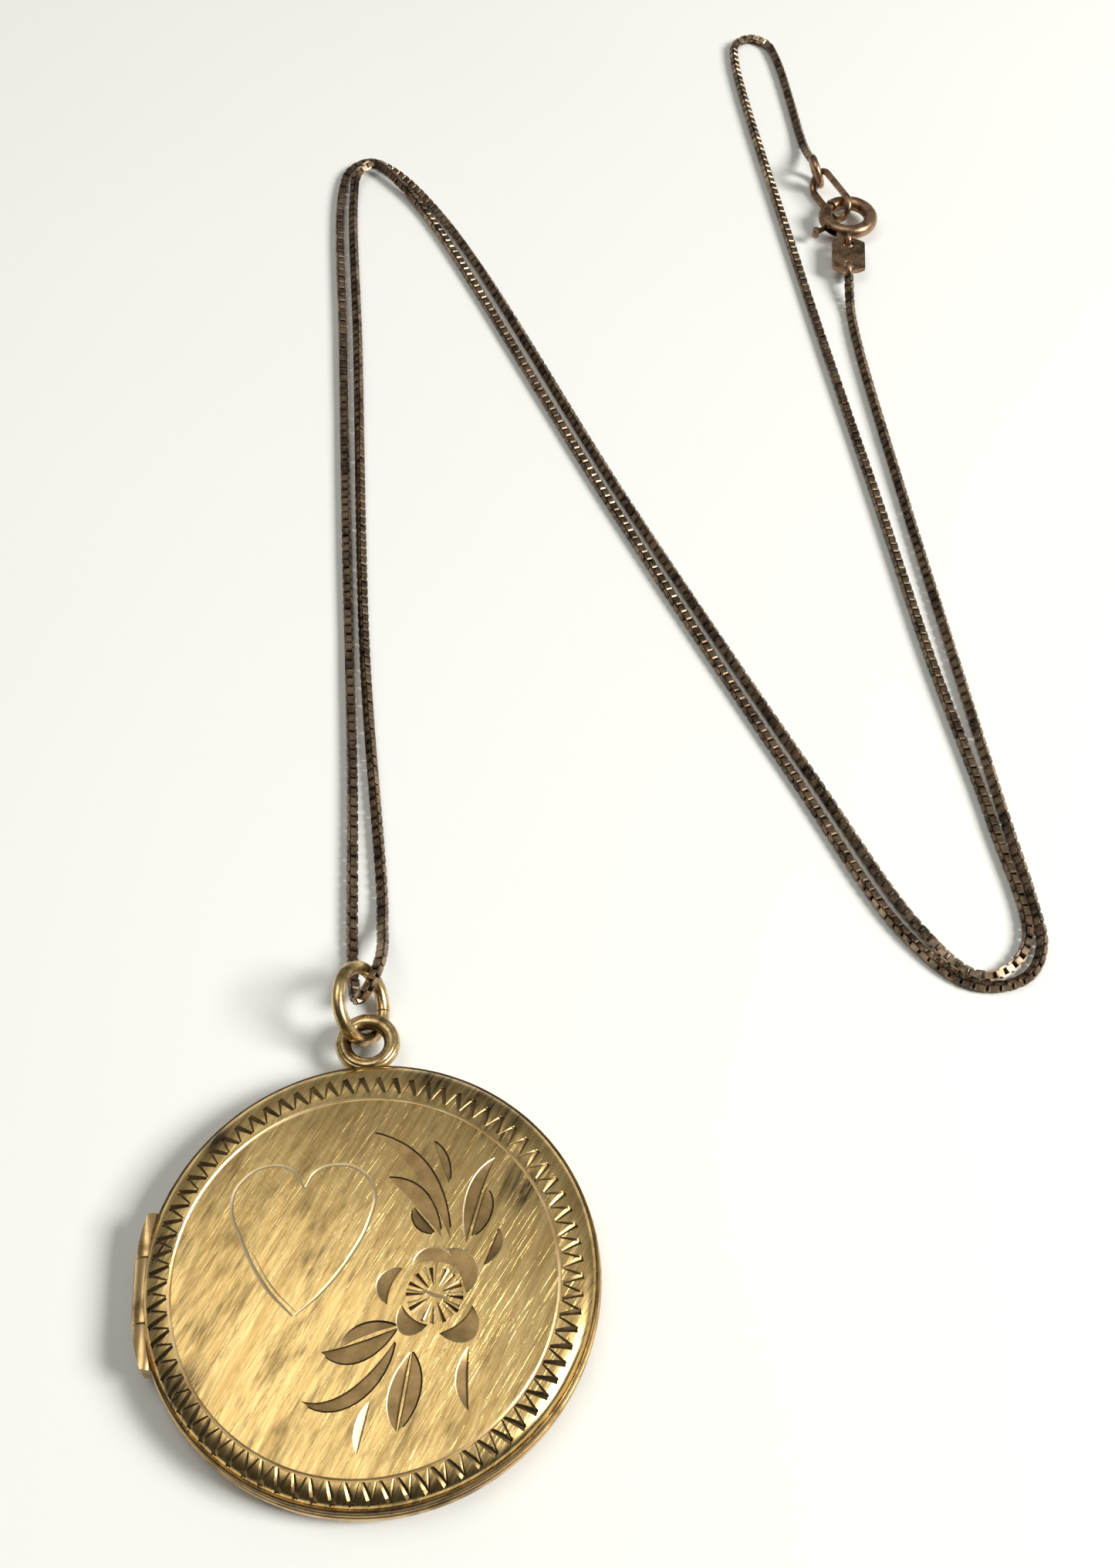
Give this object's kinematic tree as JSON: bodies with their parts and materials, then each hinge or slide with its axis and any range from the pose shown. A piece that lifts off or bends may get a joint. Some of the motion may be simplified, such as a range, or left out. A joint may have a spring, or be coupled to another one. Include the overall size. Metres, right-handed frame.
{
  "type": "locket",
  "caption": "Round engraved picture locket with a side hinge and snap closure, on a jump ring and a fine box chain with a spring-ring clasp.",
  "frame": {"origin": "centre of the flat on the back that the locket lies on", "axes": "+Z out of the engraved face, +Y towards the eye at the top, -X towards the hinge"},
  "size_m": [0.0632, 0.1426, 0.0051],
  "materials": {
    "gold": "brushed and engraved yellow gold fill, worn bright on the edges, dark patina in the cuts",
    "worn_gold": "yellow gold fill dulled by wear",
    "tarnished_gold": "fine box chain in gold fill, tarnished dark brown with rubbed highlights",
    "steel_pin": "drawn wire",
    "window": "clear sheet",
    "paper": "uncoated card"
  },
  "bodies": {
    "back": {"back_shell": "gold", "back_frame": "worn_gold", "back_card": "paper", "back_window": "window", "back_bezel": "gold", "hinge_knuckle_middle": "gold", "hinge_pin": "steel_pin", "eye": "gold", "chain": "tarnished_gold", "clasp_tube": "worn_gold", "clasp_spring": "steel_pin", "clasp_eye": "worn_gold", "clasp_tag": "worn_gold", "tag_ring": "worn_gold", "catch_link": "worn_gold", "catch_ring": "worn_gold"},
    "cover": {"front_cover": "gold", "front_frame": "worn_gold", "front_card": "paper", "front_window": "window", "front_bezel": "gold", "hinge_knuckle_upper": "gold", "hinge_knuckle_lower": "gold"},
    "jump_ring": {"jump_ring": "gold"},
    "bolt": {"clasp_bolt": "gold", "clasp_trigger": "gold"}
  },
  "joints": [
    {"name": "cover_hinge", "type": "hinge", "parent": "back", "child": "cover", "pos_m": [-0.01375, 0, 0.00178], "axis": [0, -1, 0], "range_deg": [0, 140]},
    {"name": "jump_ring_turn", "type": "hinge", "parent": "back", "child": "jump_ring", "pos_m": [-0.00034, 0.0186, 0.0026], "axis": [0.8414, -0.1636, 0.515], "continuous": true},
    {"name": "clasp_bolt_slide", "type": "hinge", "parent": "back", "child": "bolt", "pos_m": [0.0459, 0.0983, 0.0013], "axis": [0, 0, 1], "range_deg": [0, 24], "stiffness_Nm_per_rad": 0.002}
  ]
}
